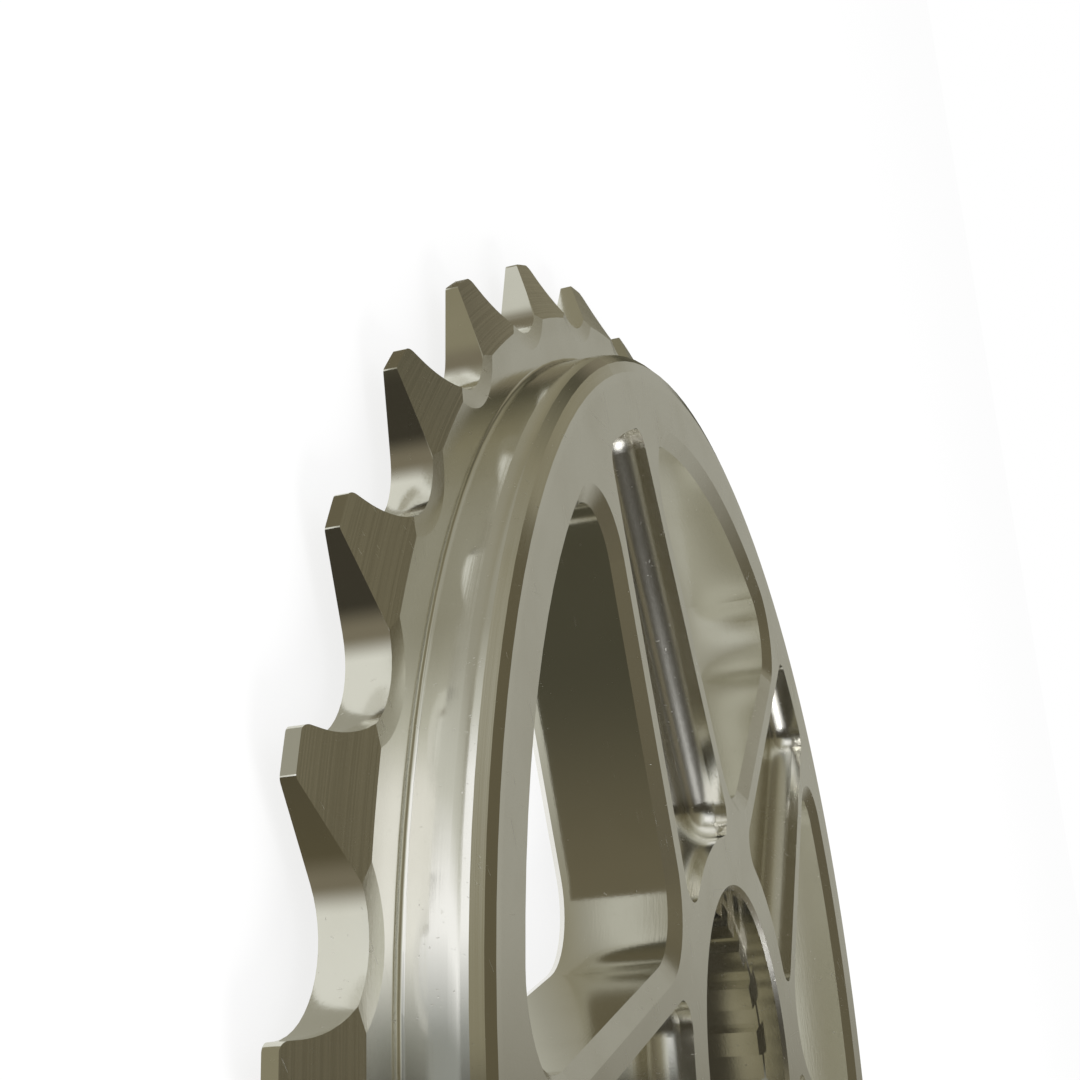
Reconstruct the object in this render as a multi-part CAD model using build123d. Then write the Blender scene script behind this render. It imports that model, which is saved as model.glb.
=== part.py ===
from build123d import *
import math
import os

# Bicycle chainring in one piece, for a single chain.
# It lies on its rear face. The origin is the bore centre on that face and +Z points to the front.
# The +X axis runs along the middle of the first spoke.

# Chain and teeth
tooth_count = 28
chain_pitch = 12.7
roller_seat_radius = 3.97
seat_below_pitch = 0.13
seat_lean = 0.75
easy_flank_angle = 49.0
steep_flank_angle = 10.0
tip_above_pitch = 0.2856
tip_corner_radius = 0.45
first_gap_angle = 3.1
tooth_thickness = 2.5
tip_land_width = 0.75
tip_bevel_reach = 3.9
seat_chamfer_depth = 0.18
seat_chamfer_width = 0.7
seat_chamfer_inset = 0.4

# Ring
total_thickness = 7.6
tooth_rear_step = 1.25
rim_radius = 50.1
rim_foot_chamfer = 0.3
rim_crown_radius = 2.7
rim_crown_drop = 0.15
rim_chamfer_width = 0.5
rim_chamfer_height = 0.5
rim_lip_width = 0.75
rim_lip_height = 0.25
rear_edge_chamfer = 0.4

# Spokes and windows
spoke_count = 5
spoke_half_width = 11.72
spoke_taper = 0.108
window_outer_radius = 44.1
window_hub_end_radius = 4.5
window_corner_radius = 4.0
window_chamfer_width = 1.05
window_chamfer_depth = 0.66

# Pockets in the spokes
pocket_half_width = 9.18
pocket_taper = 0.103
pocket_inner_radius = 16.0
pocket_outer_radius = 44.9
pocket_cutter_radius = 1.8
pocket_depth = 2.6

# Bore and splines
counterbore_radius = 12.3
counterbore_depth = 1.8
bore_radius = 10.9
bore_edge_chamfer = 0.3
spline_count = 20
spline_root_radius = 12.0
spline_groove_width = 1.7

# Places that follow from the sizes above
pitch_radius = chain_pitch / (2 * math.sin(math.pi / tooth_count))
tooth_tip_radius = pitch_radius + tip_above_pitch
tooth_front = tooth_rear_step + tooth_thickness
spoke_step_angle = 360 / spoke_count
cut_clearance = 1.0


def tooth_gap(growth, inset):
    """One gap between two teeth, its middle line along +X: a roller seat with an easy and a steep flank."""
    easy = math.radians(easy_flank_angle)
    steep = math.radians(steep_flank_angle)
    seat = roller_seat_radius + growth
    easy_x, easy_y = -seat * math.sin(easy), -seat * math.cos(easy)
    steep_x, steep_y = -seat * math.sin(steep), seat * math.cos(steep)
    centre_radius = pitch_radius - seat_below_pitch - inset
    outer_x = tooth_tip_radius + cut_clearance - centre_radius
    with BuildSketch() as gap:
        with BuildLine(Location((centre_radius, seat_lean))):
            ThreePointArc((easy_x, easy_y), (-seat, 0), (steep_x, steep_y))
            Polyline(
                (steep_x, steep_y),
                (outer_x, steep_y + (outer_x - steep_x) * math.tan(steep)),
                (outer_x, easy_y - (outer_x - easy_x) * math.tan(easy)),
                (easy_x, easy_y),
            )
        make_face()
    return gap.sketch


def toothed_disc():
    """The thin disc that carries the teeth, with the bevel that leads the chain on from the front."""
    gap_places = PolarLocations(0, tooth_count, start_angle=first_gap_angle)
    outline = Circle(tooth_tip_radius) - Circle(window_outer_radius)
    outline -= [place * tooth_gap(0, 0) for place in gap_places]
    tip_corners = outline.vertices().filter_by(
        lambda corner: abs(math.hypot(corner.X, corner.Y) - tooth_tip_radius) < tip_corner_radius / 10
    )
    outline = fillet(tip_corners, tip_corner_radius)
    disc = extrude(outline, tooth_thickness)
    bevel_foot = tooth_tip_radius - tip_bevel_reach
    with BuildSketch(Plane.XZ) as bevel:
        with BuildLine():
            slope = (tooth_thickness - tip_land_width) / tip_bevel_reach
            Polyline(
                (bevel_foot, tooth_thickness),
                (tooth_tip_radius + cut_clearance, tip_land_width - slope * cut_clearance),
                (tooth_tip_radius + cut_clearance, tooth_thickness + cut_clearance),
                (bevel_foot, tooth_thickness + cut_clearance),
                close=True,
            )
        make_face()
    disc -= revolve(bevel.sketch, Axis.Z)
    seat_chamfer = loft(
        [
            Pos(0, 0, tooth_thickness - seat_chamfer_depth) * tooth_gap(0, 0).face(),
            Pos(0, 0, tooth_thickness) * tooth_gap(seat_chamfer_width, seat_chamfer_inset).face(),
        ],
        ruled=True,
    )
    disc -= [place * seat_chamfer for place in gap_places]
    return Pos(0, 0, tooth_rear_step) * disc


def hub_and_rim():
    """The turned body: stepped bore, flat rear, and a rim whose front edge has a crown, a chamfer and a lip."""
    crown_end = total_thickness - rim_lip_height - rim_chamfer_height
    crown_length = math.sqrt(rim_crown_radius**2 - (rim_crown_radius - rim_crown_drop) ** 2)
    crown_start = crown_end - crown_length
    crown_side = rim_radius - rim_crown_drop
    chamfer_side = crown_side - rim_chamfer_width
    lip_side = chamfer_side - rim_lip_width
    step_height = total_thickness - counterbore_depth
    foot_top = tooth_front + rim_foot_chamfer
    foot_side = rim_radius + rim_foot_chamfer
    with BuildSketch(Plane.XZ) as section:
        with BuildLine():
            Polyline(
                (foot_side, tooth_front),
                (foot_side, tooth_rear_step),
                (rim_radius, tooth_rear_step),
                (rim_radius, rear_edge_chamfer),
                (rim_radius - rear_edge_chamfer, 0),
                (bore_radius, 0),
                (bore_radius, step_height),
                (counterbore_radius, step_height),
                (counterbore_radius, total_thickness - bore_edge_chamfer),
                (counterbore_radius + bore_edge_chamfer, total_thickness),
                (lip_side, total_thickness),
                (chamfer_side, total_thickness - rim_lip_height),
                (crown_side, crown_end),
            )
            RadiusArc((crown_side, crown_end), (rim_radius, crown_start), rim_crown_radius)
            Polyline((rim_radius, crown_start), (rim_radius, foot_top), (foot_side, tooth_front))
        make_face()
    return revolve(section.sketch, Axis.Z)


def side_point(half_width, taper, radius):
    """Where a tapering side, half_width - taper * x from the middle line, crosses a circle round the axis."""
    square = 1 + taper**2
    spread = half_width * taper
    x = (spread + math.sqrt(spread**2 - square * (half_width**2 - radius**2))) / square
    return x, half_width - taper * x


def window_cut():
    """One through window between two spokes, middle line along +X, with its front edge chamfered."""
    half_angle = math.radians(spoke_step_angle / 2)
    apex = spoke_half_width / (math.sin(half_angle) + spoke_taper * math.cos(half_angle))
    side_x, side_y = side_point(spoke_half_width, spoke_taper, window_outer_radius)
    corner_x = side_x * math.cos(half_angle) + side_y * math.sin(half_angle)
    corner_y = side_x * math.sin(half_angle) - side_y * math.cos(half_angle)
    with BuildSketch() as outline:
        with BuildLine():
            Polyline((corner_x, -corner_y), (apex, 0), (corner_x, corner_y))
            ThreePointArc((corner_x, corner_y), (window_outer_radius, 0), (corner_x, -corner_y))
        make_face()
        corners = outline.vertices().sort_by(Axis.X)
        fillet(corners[0], window_hub_end_radius)
        corners = outline.vertices().filter_by(lambda corner: corner.X > corner_x - cut_clearance)
        fillet(corners, window_corner_radius)
    chamfer_floor = Pos(0, 0, total_thickness - window_chamfer_depth)
    opening = extrude(outline.sketch, total_thickness)
    bevel = loft(
        [
            (chamfer_floor * outline.sketch).face(),
            (Pos(0, 0, total_thickness) * offset(outline.sketch, window_chamfer_width)).face(),
        ],
        ruled=True,
    )
    return opening + bevel


def pocket_cut():
    """One blind pocket in the front of a spoke, milled with a ball-ended cutter, middle line along +X."""
    inner_x, inner_y = side_point(pocket_half_width, pocket_taper, pocket_inner_radius)
    outer_x, outer_y = side_point(pocket_half_width, pocket_taper, pocket_outer_radius)
    with BuildSketch() as outline:
        with BuildLine():
            Line((inner_x, inner_y), (outer_x, outer_y))
            ThreePointArc((outer_x, outer_y), (pocket_outer_radius, 0), (outer_x, -outer_y))
            Line((outer_x, -outer_y), (inner_x, -inner_y))
            ThreePointArc((inner_x, -inner_y), (pocket_inner_radius, 0), (inner_x, inner_y))
        make_face()
        fillet(outline.vertices(), pocket_cutter_radius)
    pocket = extrude(outline.sketch, pocket_depth)
    pocket = fillet(pocket.faces().sort_by(Axis.Z)[0].edges(), pocket_cutter_radius)
    return Pos(0, 0, total_thickness - pocket_depth) * pocket


def spline_groove():
    """One straight groove between two splines of the bore, middle line along +X, up to the counterbore."""
    reach = spline_root_radius - bore_radius + cut_clearance
    groove = Pos(spline_root_radius, 0) * Rectangle(2 * reach, spline_groove_width)
    groove &= Circle(spline_root_radius)
    return Pos(0, 0, -cut_clearance) * extrude(groove, total_thickness - counterbore_depth + cut_clearance)


def chainring():
    """The whole ring: turned body and toothed disc in one, with all windows, pockets and grooves cut out."""
    ring = hub_and_rim() + toothed_disc()
    grooves = PolarLocations(0, spline_count, start_angle=180 / spline_count)
    ring -= [place * spline_groove() for place in grooves]
    windows = PolarLocations(0, spoke_count, start_angle=spoke_step_angle / 2)
    ring -= [place * window_cut() for place in windows]
    pockets = PolarLocations(0, spoke_count)
    ring -= [place * pocket_cut() for place in pockets]
    return ring


os.makedirs("parts", exist_ok=True)
export_step(chainring().solid(), "parts/chainring.step")
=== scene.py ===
"""Studio picture of a machined one-piece bicycle chainring that lies flat on a white table."""
import math

import bpy
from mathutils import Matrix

# Lengths are in millimetres and directions in degrees, counted round the ring's axis from +X.
MM = 0.001

# Camera: where it stands, how it is turned, and its lens
camera_place = (53.66, 98.14, 31.93)
camera_turn = (26.99, -70.16, -127.00)
lens_length = 52.12
sensor_width = 36.0

# Table and light
table_size = 4000.0
table_white = (0.9, 0.9, 0.9, 1.0)
table_glow = 0.8
soft_light_place = (-420.0, 160.0, 330.0)
soft_light_size = 260.0
soft_light_power = 2.2

# Colours of the glowing cards that only the polished metal reflects: painted reflections and shade
near_black = (0.045, 0.040, 0.028, 1.0)
dark_olive = (0.065, 0.061, 0.040, 1.0)
dark_brown = (0.100, 0.086, 0.050, 1.0)
brown = (0.135, 0.118, 0.074, 1.0)
chestnut = (0.19, 0.168, 0.118, 1.0)
tan = (0.25, 0.23, 0.155, 1.0)
slate = (0.29, 0.30, 0.28, 1.0)
soft_grey = (0.33, 0.32, 0.26, 1.0)
warm_grey = (0.36, 0.352, 0.30, 1.0)
mid_grey = (0.48, 0.475, 0.41, 1.0)
pale_grey = (0.60, 0.60, 0.54, 1.0)
light_grey = (0.72, 0.72, 0.66, 1.0)
white = (1.0, 1.0, 1.0, 1.0)

# Room: painted reflections on a round glowing wall, coloured by direction, and a ceiling, coloured by the
# distance towards the wall's white stretch
room_radius = 460.0
room_height = 340.0
room_colours = (
    (-180, brown),
    (-130, dark_brown),
    (-112, warm_grey),
    (-80, warm_grey),
    (-75, tan),
    (-66, chestnut),
    (-60, dark_olive),
    (-42, tan),
    (-21, soft_grey),
    (2, soft_grey),
    (16, pale_grey),
    (24, white),
    (44, white),
    (55, slate),
    (66, near_black),
    (130, near_black),
    (180, brown),
)
top_direction = 35.0
top_shade = (52.0, 72.0)
top_colours = ((-200, dark_brown), (-20, brown), (190, tan), (340, pale_grey))

# Flat cards just over the table, painted reflections of it: beside the teeth by direction, under the ring by
# distance from the axis
card_lift = 0.3
low_card_inner = 60.0
low_card_colours = (
    (-60, dark_olive),
    (-20, tan),
    (28, soft_grey),
    (42, pale_grey),
    (48, white),
    (51.5, white),
    (58, slate),
    (180, slate),
)
# The under card: painted shade of the table under the ring, and a painted shadow below the bore
under_card_radius = 54.0
under_colours = ((18, tan), (24, soft_grey), (30, mid_grey), (36, mid_grey), (43, soft_grey))
bore_card_edge = (14.0, 12.0)
bore_card_blend = (0.5, 5.0)
card_steps = 72

# Small cards by the teeth and the first spoke, painting reflections and shade: ends or corners along and
# across a middle line, and heights
tooth_count = 28
first_gap_direction = 3.1
carded_gap_count = 6
# Flank cards: painted reflection and shade for the teeth's flanks
flank_card = ((52.83, -0.53, 0.9, 3.8), (57.20, -5.57, 0.9, 2.0))
flank_card_fade = (52.9, 53.7)
flank_card_foot = (54.7, 53.8)
flank_colours = ((2, pale_grey), (9, tan), (17, tan), (24, near_black), (43, near_black), (52, dark_brown))
# Tip cards: painted reflection for the tips of the teeth
tip_card = ((56.87, -5.66, 0.9, 2.0), (56.50, -8.62, 0.9, 2.0))
tip_colours = (
    (-6, soft_grey),
    (6, brown),
    (37, brown),
    (45, soft_grey),
    (50, soft_grey),
    (57, tan),
    (63, tan),
)
# Seat cards: painted shade, the shadowed table by the teeth as their seats reflect it
seat_card = ((54.0, -6.6), (58.0, -6.6), (58.0, -2.6), (54.0, -2.6))
# Rib card: painted reflection and shade for the first spoke's long side
rib_card = ((18.2, 11.23, 0.3, 7.3), (41.5, 8.72, 0.3, 7.3))
rib_card_pale = (34.0, 20.0)
whole_card = (0.0, 1.0)

# Metal: its colours and how matt it is
metal_colour = (0.87, 0.862, 0.81, 1.0)
# The second colour serves the real stains and specks, and the painted shade in the pockets
stain_and_shade_colour = (0.74, 0.72, 0.64, 1.0)
line_colour = (0.38, 0.36, 0.30, 1.0)
polished_roughness = 0.13
milled_roughness = 0.24
pocket_polish = 0.7

# Where each finish starts or ends: distance from the axis, height, or how far a face looks up
level_facing = (0.97, 0.995)
sloping_facing = (0.3, 0.7)
upright_facing = (0.2, 0.05)
bevel_start = (52.6, 53.0)
rim_start = (47.9, 48.5)
rim_end = (52.6, 51.3)
pocket_level = (7.55, 6.55)
pocket_end = (52.6, 46.5)
window_start = (13.0, 14.0)
window_end = (46.5, 45.5)
rim_foot_start = (49.8, 49.9)
rim_foot_height = 3.9
rim_foot_size = 0.15
rim_foot_bend = 4.0

# Fineness: turned marks by radius, height and turn, lines by x, y and z, arcs by radius, turn and height
turned_fineness = (7.0, 9.0, 2.0)
broad_turned_fineness = (1.6, 2.2, 1.2)
bevel_fineness = (9.0, 9.0, 2.0)
cutter_line_fineness = (0.6, 0.6, 7.0)
cutter_arc_fineness = (4.0, 5.0, 1.0)
line_detail = 3.0
line_roughness = 0.6
grain_fineness = 5.5
grain_detail = 4.0
grain_roughness = 0.65
cloud_fineness = 0.16
cloud_detail = 3.0
speck_fineness = 2.7
speck_detail = 1.0
speck_shown = (0.79, 0.83)
speck_patches = (0.50, 0.62)

# Scratches, each set by x and y across it, x and y along it, height, and the noise that shows
scratch_sets = (
    ((0.5, 9.0), (0.12, 0.0), 4.0, (0.70, 0.74)),
    ((8.0, -3.5), (0.0, 0.10), 3.0, (0.71, 0.75)),
)
scratch_bend_fineness = 0.05
scratch_bend = 6.0
scratch_patch_fineness = 0.9
scratch_patches = (0.45, 0.6)

# Heights and depths of the marks
turned_line_height = 0.0022
broad_turned_height = 0.0030
bevel_line_height = 0.006
grain_height = 0.0030
cutter_arc_height = 0.003
pocket_arc_height = 0.006
window_line_height = 0.004
scratch_depth = 0.003
speck_depth = 0.005

# What the marks add to the roughness and to the stain; the pockets' share is painted shade
cloud_matt = 0.10
grain_matt = 0.08
scratch_matt = 0.18
speck_matt = 0.2
cloud_stained = (0.40, 0.75)
cloud_stain = 0.35
speck_stain = 0.5
# Bevels made a little darker
bevel_darkening = 0.1
# Pockets painted darker: painted shade in the recesses
pocket_painted_shade = 0.9
bevel_line_shown = (0.42, 0.62)
bevel_line_share = 0.2


class Wire:
    """One output of a material's nodes, so that shader maths reads as plain arithmetic."""

    def __init__(self, tree, socket=None):
        self.tree = tree
        self.socket = socket

    def node(self, kind, settings, inputs, output=0):
        """Adds a node of any kind: its settings or a ramp's stops first, then its input values or links."""
        added = self.tree.nodes.new(kind)
        for name, value in settings.items():
            if name == "stops":
                set_stops(added.color_ramp.elements, value)
            else:
                setattr(added, name, value)
        for name, value in inputs.items():
            if isinstance(value, Wire):
                self.tree.links.new(value.socket, added.inputs[name])
            else:
                added.inputs[name].default_value = value
        return Wire(self.tree, added.outputs[output] if added.outputs else None)

    def maths(self, operation, first, second=0.0):
        return self.node("ShaderNodeMath", {"operation": operation}, {0: first, 1: second})

    def __add__(self, other):
        return self.maths("ADD", self, other)

    def __radd__(self, other):
        return self.maths("ADD", other, self)

    def __sub__(self, other):
        return self.maths("SUBTRACT", self, other)

    def __rsub__(self, other):
        return self.maths("SUBTRACT", other, self)

    def __mul__(self, other):
        return self.maths("MULTIPLY", self, other)

    def __rmul__(self, other):
        return self.maths("MULTIPLY", other, self)

    def __truediv__(self, other):
        return self.maths("DIVIDE", self, other)

    def __pow__(self, other):
        return self.maths("POWER", self, other)

    def step(self, start, end):
        """0 below start, 1 above end and a smooth rise between; falls instead where start is above end."""
        return self.node(
            "ShaderNodeMapRange",
            {"interpolation_type": "SMOOTHSTEP"},
            {"Value": self, "From Min": start, "From Max": end},
        )

    def split(self):
        """The X, Y and Z of a vector."""
        return [self.node("ShaderNodeSeparateXYZ", {}, {"Vector": self}, axis) for axis in range(3)]

    def join(self, x, y, z):
        return self.node("ShaderNodeCombineXYZ", {}, {"X": x, "Y": y, "Z": z})

    def noise(self, fineness, detail=2.0, roughness=0.5):
        """Smooth random values round 0.5 that follow this vector."""
        return self.node(
            "ShaderNodeTexNoise",
            {},
            {"Vector": self, "Scale": fineness, "Detail": detail, "Roughness": roughness},
        )

    def marks(self, parts, fineness, detail=2.0, roughness=0.5):
        """Noise over three lengths or angles, each with its own fineness."""
        scaled = [part * fine for part, fine in zip(parts, fineness)]
        return self.join(*scaled).noise(1.0, detail, roughness)

    def ramp(self, stops):
        """A colour that runs through the stops, each a value and its colour."""
        low, high = stops[0][0], stops[-1][0]
        shares = [((value - low) / (high - low), colour) for value, colour in stops]
        share = (self - low) / (high - low)
        return self.node("ShaderNodeValToRGB", {"stops": shares}, {"Fac": share})

    def mix(self, first, second):
        """Two colours, mixed by this share of the second."""
        return self.node(
            "ShaderNodeMix",
            {"data_type": "RGBA"},
            {"Factor": self, "A": first, "B": second},
            "Result",
        )


def set_stops(elements, stops):
    """Gives a ramp its stops, each a share from 0 to 1 and its colour."""
    elements[0].color = stops[0][1]
    elements[1].color = stops[-1][1]
    for share, colour in stops[1:-1]:
        elements.new(share).color = colour


def new_material(name, make_shader, *details):
    """A material with the shader that make_shader builds from a wire without a socket and the details."""
    material = bpy.data.materials.new(name)
    material.use_nodes = True
    material.node_tree.nodes.clear()
    start = Wire(material.node_tree)
    start.node("ShaderNodeOutputMaterial", {}, {"Surface": make_shader(start, *details)})
    return material


def place_on_object(start):
    """The place on the object's surface, in millimetres."""
    place = start.node("ShaderNodeTexCoord", {}, {}, "Object")
    return start.node("ShaderNodeVectorMath", {"operation": "SCALE"}, {0: place, "Scale": 1 / MM})


def radius_of(place):
    """How far a place is from the axis."""
    x, y = place.split()[:2]
    return (x * x + y * y) ** 0.5


def direction_of(place):
    """The direction of a place round the axis."""
    x, y = place.split()[:2]
    return place.maths("ARCTAN2", y, x) * math.degrees(1)


def metal_regions(place, facing):
    """Where each finish lies, as shares: level faces, upright faces, bevels, rim, pockets, window walls."""
    height = place.split()[2]
    radius = radius_of(place)
    level = facing.step(*level_facing)
    upright = facing.maths("ABSOLUTE", facing).step(*upright_facing)
    on_bevel = radius.step(*bevel_start) * facing.step(*sloping_facing) * (1 - level)
    on_rim = radius.step(*rim_start) * radius.step(*rim_end)
    in_pocket = level * height.step(*pocket_level) * radius.step(*pocket_end)
    in_window = upright * radius.step(*window_start) * radius.step(*window_end)
    return level, upright, on_bevel, on_rim, in_pocket, in_window


def scratch_marks(place):
    """Thin bent scratches in two directions, in patches."""
    x, y, z = place.split()
    bend = place.noise(scratch_bend_fineness) * scratch_bend
    drawn = []
    for (across_x, across_y), (along_x, along_y), by_height, shown in scratch_sets:
        across = x * across_x + y * across_y + bend
        along = x * along_x + y * along_y
        drawn.append(place.join(across, along, z * by_height).noise(1.0).step(*shown))
    return place.maths("MAXIMUM", *drawn) * place.noise(scratch_patch_fineness).step(*scratch_patches)


def rim_foot_hollow(place):
    """Lets the small chamfer at the foot of the rim catch the light like a hollow curve."""
    height = place.split()[2]
    off_middle = place.maths("ABSOLUTE", height - rim_foot_height)
    reach = place.maths("MINIMUM", off_middle, rim_foot_size)
    hollow = reach * reach - rim_foot_size**2
    return hollow * radius_of(place).step(*rim_foot_start) * rim_foot_bend


def metal_shader(start):
    """Machined aluminium: turned lines on the rim and teeth, cutter marks on milled faces, fine scratches,
    and painted shade darkening the pockets.
    """
    place = place_on_object(start)
    x, y, z = place.split()
    radius = radius_of(place)
    turn = place.maths("ARCTAN2", y, x)
    facing = start.node("ShaderNodeNewGeometry", {}, {}, "Normal").split()[2]
    level, upright, on_bevel, on_rim, in_pocket, in_window = metal_regions(place, facing)
    turned = place.maths("MAXIMUM", on_bevel, on_rim)

    turned_lines = place.marks((radius, z, turn), turned_fineness, line_detail, line_roughness)
    broad_turned = place.marks((radius, z, turn), broad_turned_fineness)
    bevel_lines = place.marks((radius, z, turn), bevel_fineness)
    cutter_lines = place.marks((x, y, z), cutter_line_fineness, line_detail, line_roughness)
    cutter_arcs = place.marks((radius, turn, z), cutter_arc_fineness)
    grain = place.noise(grain_fineness, grain_detail, grain_roughness)
    cloud = place.noise(cloud_fineness, cloud_detail)
    specks = place.noise(speck_fineness, speck_detail).step(*speck_shown) * cloud.step(*speck_patches)
    scratches = scratch_marks(place)

    height = turned * (turned_lines * turned_line_height + broad_turned * broad_turned_height)
    height = height + on_bevel * bevel_lines * bevel_line_height
    height = height + (1 - turned) * (grain * grain_height + cutter_arcs * cutter_arc_height * level)
    height = height + in_window * cutter_lines * window_line_height
    height = height + in_pocket * cutter_arcs * pocket_arc_height
    height = height - scratches * scratch_depth - specks * speck_depth + rim_foot_hollow(place)
    bump = start.node(
        "ShaderNodeBump",
        {},
        {"Strength": 1.0, "Distance": MM, "Height": height},
        "Normal",
    )

    milled = (1 - on_rim) * (1 - upright) * (1 - pocket_polish * in_pocket)
    roughness = polished_roughness + milled * (milled_roughness - polished_roughness)
    roughness = roughness + (cloud - 0.5) * cloud_matt + (grain - 0.5) * grain_matt
    roughness = roughness + scratches * scratch_matt + specks * speck_matt
    stain_and_shade = cloud.step(*cloud_stained) * cloud_stain + specks * speck_stain
    # The pockets' share here is painted shade in the recesses
    stain_and_shade = stain_and_shade + on_bevel * bevel_darkening + in_pocket * pocket_painted_shade
    lined = on_bevel * bevel_lines.step(*bevel_line_shown) * bevel_line_share
    colour = lined.mix(stain_and_shade.mix(metal_colour, stain_and_shade_colour), line_colour)
    return start.node(
        "ShaderNodeBsdfPrincipled",
        {},
        {"Base Color": colour, "Metallic": 1.0, "Roughness": roughness, "Normal": bump},
    )


def table_shader(start):
    """Matt white that stays white in the picture and in the metal, and still takes the object's shadow."""
    camera_ray, glossy_ray, clear_ray = [
        start.node("ShaderNodeLightPath", {}, {}, name)
        for name in ("Is Camera Ray", "Is Glossy Ray", "Is Transmission Ray")
    ]
    shown = (camera_ray + glossy_ray + clear_ray) * table_glow
    matt = start.node("ShaderNodeBsdfDiffuse", {}, {"Color": table_white})
    glow = start.node("ShaderNodeEmission", {}, {"Strength": 1.0})
    return start.node("ShaderNodeMixShader", {}, {0: shown, 1: matt, 2: glow})


def card_shader(start, colour):
    """An even glow, its colour constant or given by a function of the place on the card."""
    shown = colour(place_on_object(start)) if callable(colour) else colour
    return start.node("ShaderNodeEmission", {}, {"Color": shown})


def one_sided_shader(start, colour, shown):
    """A glow to one side only, clear from the other; outwards it appears between the two radii shown."""
    behind = start.node("ShaderNodeNewGeometry", {}, {}, "Backfacing")
    faded = 1 - radius_of(place_on_object(start)).step(*shown)
    hidden = start.maths("MAXIMUM", behind, faded)
    clear = start.node("ShaderNodeBsdfTransparent", {}, {})
    return start.node("ShaderNodeMixShader", {}, {0: hidden, 1: card_shader(start, colour), 2: clear})


def sheet(name, corners, faces, material):
    """A flat piece of the studio."""
    mesh = bpy.data.meshes.new(name)
    mesh.from_pydata([[length * MM for length in corner] for corner in corners], [], faces)
    mesh.materials.append(material)
    made = bpy.data.objects.new(name, mesh)
    bpy.context.scene.collection.objects.link(made)
    return made


def reflector(name, corners, faces, make_shader, *details):
    """A card that shows only in the metal's reflections and throws no shadow."""
    card = sheet(name, corners, faces, new_material(name, make_shader, *details))
    card.visible_camera = False
    card.visible_diffuse = False
    card.visible_shadow = False


def room_colour(place):
    """The wall, a painted reflection: mostly brown, with a wide white stretch that stands for a bright window
    and a grey stretch opposite the camera.
    """
    return direction_of(place).ramp(room_colours)


def top_colour(place):
    """The ceiling, a painted reflection: dark brown, paler towards the wall's white stretch and nearly black
    on the camera's side.
    """
    x, y = place.split()[:2]
    angle = math.radians(top_direction)
    lit = (x * math.cos(angle) + y * math.sin(angle)).ramp(top_colours)
    return direction_of(place).step(*top_shade).mix(lit, near_black)


def low_colour(place):
    """A painted reflection of the table beside the teeth, as the rim's side shows it."""
    return direction_of(place).ramp(low_card_colours)


def under_colour(place):
    """Painted shade of the table under the ring, as the metal reflects it: palest below the windows' middle,
    half dark below the bore.
    """
    y = place.split()[1]
    radius = radius_of(place)
    # Painted shadow below the bore: near black on one half
    in_bore = y.step(*bore_card_blend).mix(near_black, tan)
    return radius.step(*bore_card_edge).mix(radius.ramp(under_colours), in_bore)


def flank_colour(place):
    """Painted reflection and shade for the leaning flanks of the teeth: darkest on the middle teeth, chestnut
    at the foot.
    """
    by_direction = direction_of(place).ramp(flank_colours)
    return radius_of(place).step(*flank_card_foot).mix(by_direction, chestnut)


def tip_colour(place):
    """Painted reflection for the narrow tips of the teeth."""
    return direction_of(place).ramp(tip_colours)


def rib_colour(place):
    """Painted reflection and shade for the long side of the first spoke: dark olive, browner towards the hub.
    """
    return radius_of(place).step(*rib_card_pale).mix(dark_olive, brown)


def turned_place(direction, along, across, height):
    """A place given along and across a middle line that runs out from the axis in a direction."""
    angle = math.radians(direction)
    x = along * math.cos(angle) - across * math.sin(angle)
    y = along * math.sin(angle) + across * math.cos(angle)
    return x, y, height


def circle(radius, height):
    """The corners of a many-sided circle round the axis, starting opposite +X."""
    return [turned_place(360 * step / card_steps - 180, radius, 0, height) for step in range(card_steps)]


def band():
    """The four-sided faces between two such circles, given one after the other."""
    return [
        (step, card_steps + step, card_steps + (step + 1) % card_steps, (step + 1) % card_steps)
        for step in range(card_steps)
    ]


def upright_card(direction, first_end, second_end):
    """The corners of an upright card that glows to the right of the way from its first end to its second."""
    places = []
    for along, across, low, high in (first_end, second_end):
        places.append(turned_place(direction, along, across, low))
        places.append(turned_place(direction, along, across, high))
    return [places[0], places[2], places[3], places[1]]


def fours(corners):
    """The faces of separate four-sided cards, given corner after corner."""
    return [tuple(range(corner, corner + 4)) for corner in range(0, len(corners), 4)]


def build_room():
    """The table, and the large glowing cards round, over and under the ring, which paint the metal's
    reflections.
    """
    half = table_size / 2
    square = [(-half, -half, 0), (half, -half, 0), (half, half, 0), (-half, half, 0)]
    sheet("table", square, fours(square), new_material("white table", table_shader))

    whole = [tuple(range(card_steps))]
    room_foot = circle(room_radius, card_lift)
    room_head = circle(room_radius, room_height)
    low_inner = circle(low_card_inner, card_lift)
    under_edge = circle(under_card_radius, card_lift)
    # Painted reflections: a glowing wall and ceiling that only the metal shows
    reflector("room wall", room_foot + room_head, band(), card_shader, room_colour)
    reflector("room ceiling", room_head, whole, card_shader, top_colour)
    reflector("low card", low_inner + room_foot, band(), card_shader, low_colour)
    # Painted reflection of pale table just round the teeth
    reflector("edge card", under_edge + low_inner, band(), card_shader, light_grey)
    reflector("under card", under_edge, whole, card_shader, under_colour)


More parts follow.
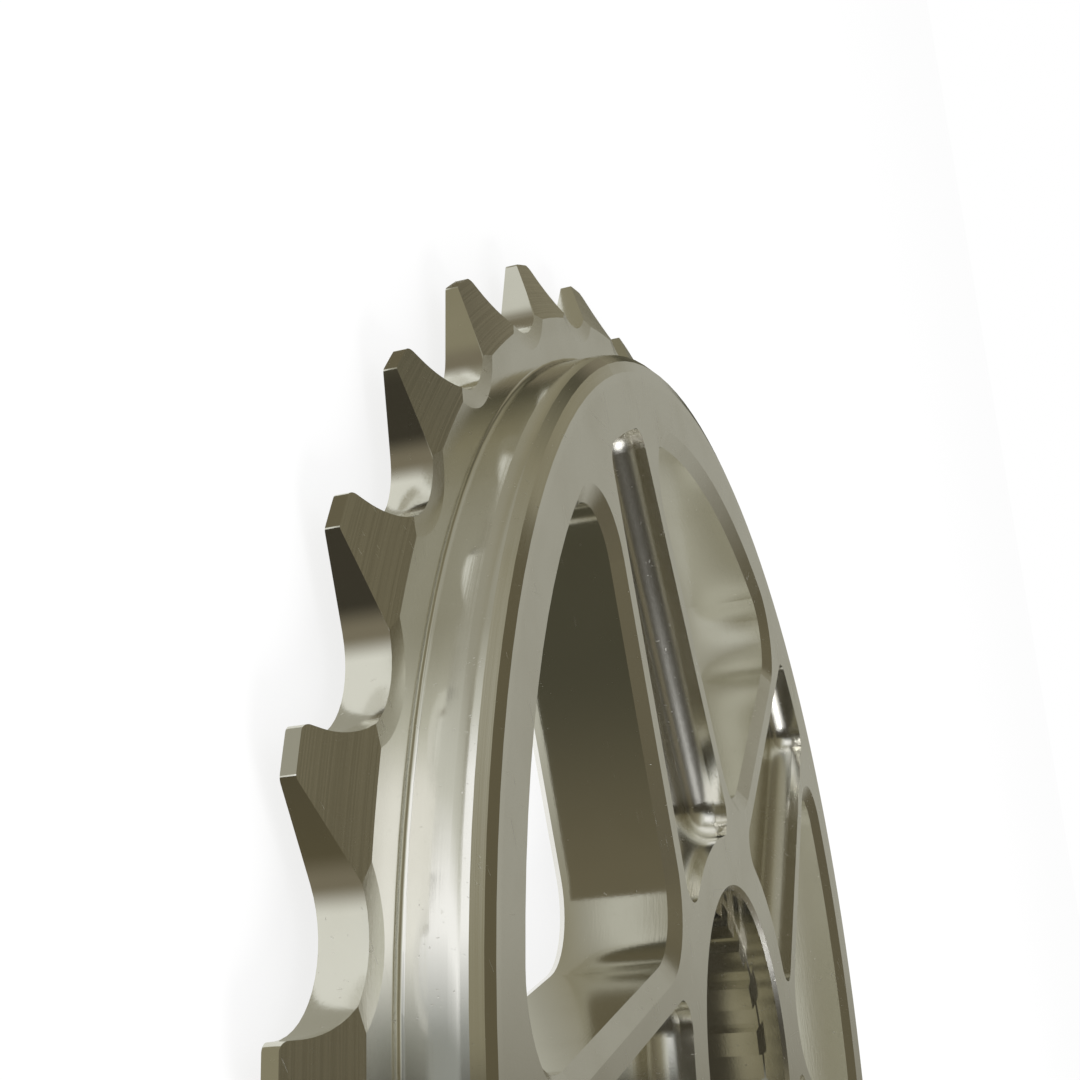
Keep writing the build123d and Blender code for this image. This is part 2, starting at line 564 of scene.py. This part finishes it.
def build_small_cards():
    """The cards close to the teeth's flanks, tips and seats, and to the long side of the first spoke, which
    paint the reflections and shade these faces show.
    """
    gap_directions = [first_gap_direction + gap * 360 / tooth_count for gap in range(carded_gap_count)]
    flanks = [corner for gap in gap_directions for corner in upright_card(gap, *flank_card)]
    tips = [corner for gap in gap_directions for corner in upright_card(gap, *tip_card)]
    seats = [turned_place(gap, *corner, card_lift) for gap in gap_directions for corner in seat_card]
    rib = upright_card(0, *rib_card)
    reflector("flank cards", flanks, fours(flanks), one_sided_shader, flank_colour, flank_card_fade)
    reflector("tip cards", tips, fours(tips), one_sided_shader, tip_colour, whole_card)
    # Painted shade for the seats
    reflector("seat cards", seats, fours(seats), card_shader, tan)
    reflector("rib card", rib, fours(rib), one_sided_shader, rib_colour, whole_card)


def light_room():
    """White surroundings and one soft light, high up to one side."""
    world = bpy.data.worlds.new("white room")
    world.use_nodes = True
    background = world.node_tree.nodes["Background"]
    background.inputs["Color"].default_value = white
    background.inputs["Strength"].default_value = 1.0
    bpy.context.scene.world = world

    lamp = bpy.data.lights.new("soft light", "AREA")
    lamp.size = soft_light_size * MM
    lamp.energy = soft_light_power
    light = bpy.data.objects.new("soft light", lamp)
    light.location = [length * MM for length in soft_light_place]
    light.rotation_euler = (-light.location).to_track_quat("-Z", "Y").to_euler()
    bpy.context.scene.collection.objects.link(light)


def place_camera():
    """The camera that sees the ring as the photograph does, with the picture turned on its side."""
    lens = bpy.data.cameras.new("camera")
    lens.sensor_width = sensor_width
    lens.lens = lens_length
    lens.clip_start = MM
    camera = bpy.data.objects.new("camera", lens)
    camera.location = [length * MM for length in camera_place]
    camera.rotation_euler = [math.radians(angle) for angle in camera_turn]
    bpy.context.scene.collection.objects.link(camera)
    bpy.context.scene.camera = camera


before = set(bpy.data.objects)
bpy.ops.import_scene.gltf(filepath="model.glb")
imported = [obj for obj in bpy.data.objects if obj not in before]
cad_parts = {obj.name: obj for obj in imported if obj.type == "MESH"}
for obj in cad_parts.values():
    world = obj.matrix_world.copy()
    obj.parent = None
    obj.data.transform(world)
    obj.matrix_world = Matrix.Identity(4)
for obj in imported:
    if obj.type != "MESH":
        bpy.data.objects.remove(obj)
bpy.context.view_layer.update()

metal = new_material("machined aluminium", metal_shader)
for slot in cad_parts["chainring"].material_slots:
    slot.material = metal

build_room()
build_small_cards()
light_room()
place_camera()
bpy.context.scene.view_settings.view_transform = "Standard"
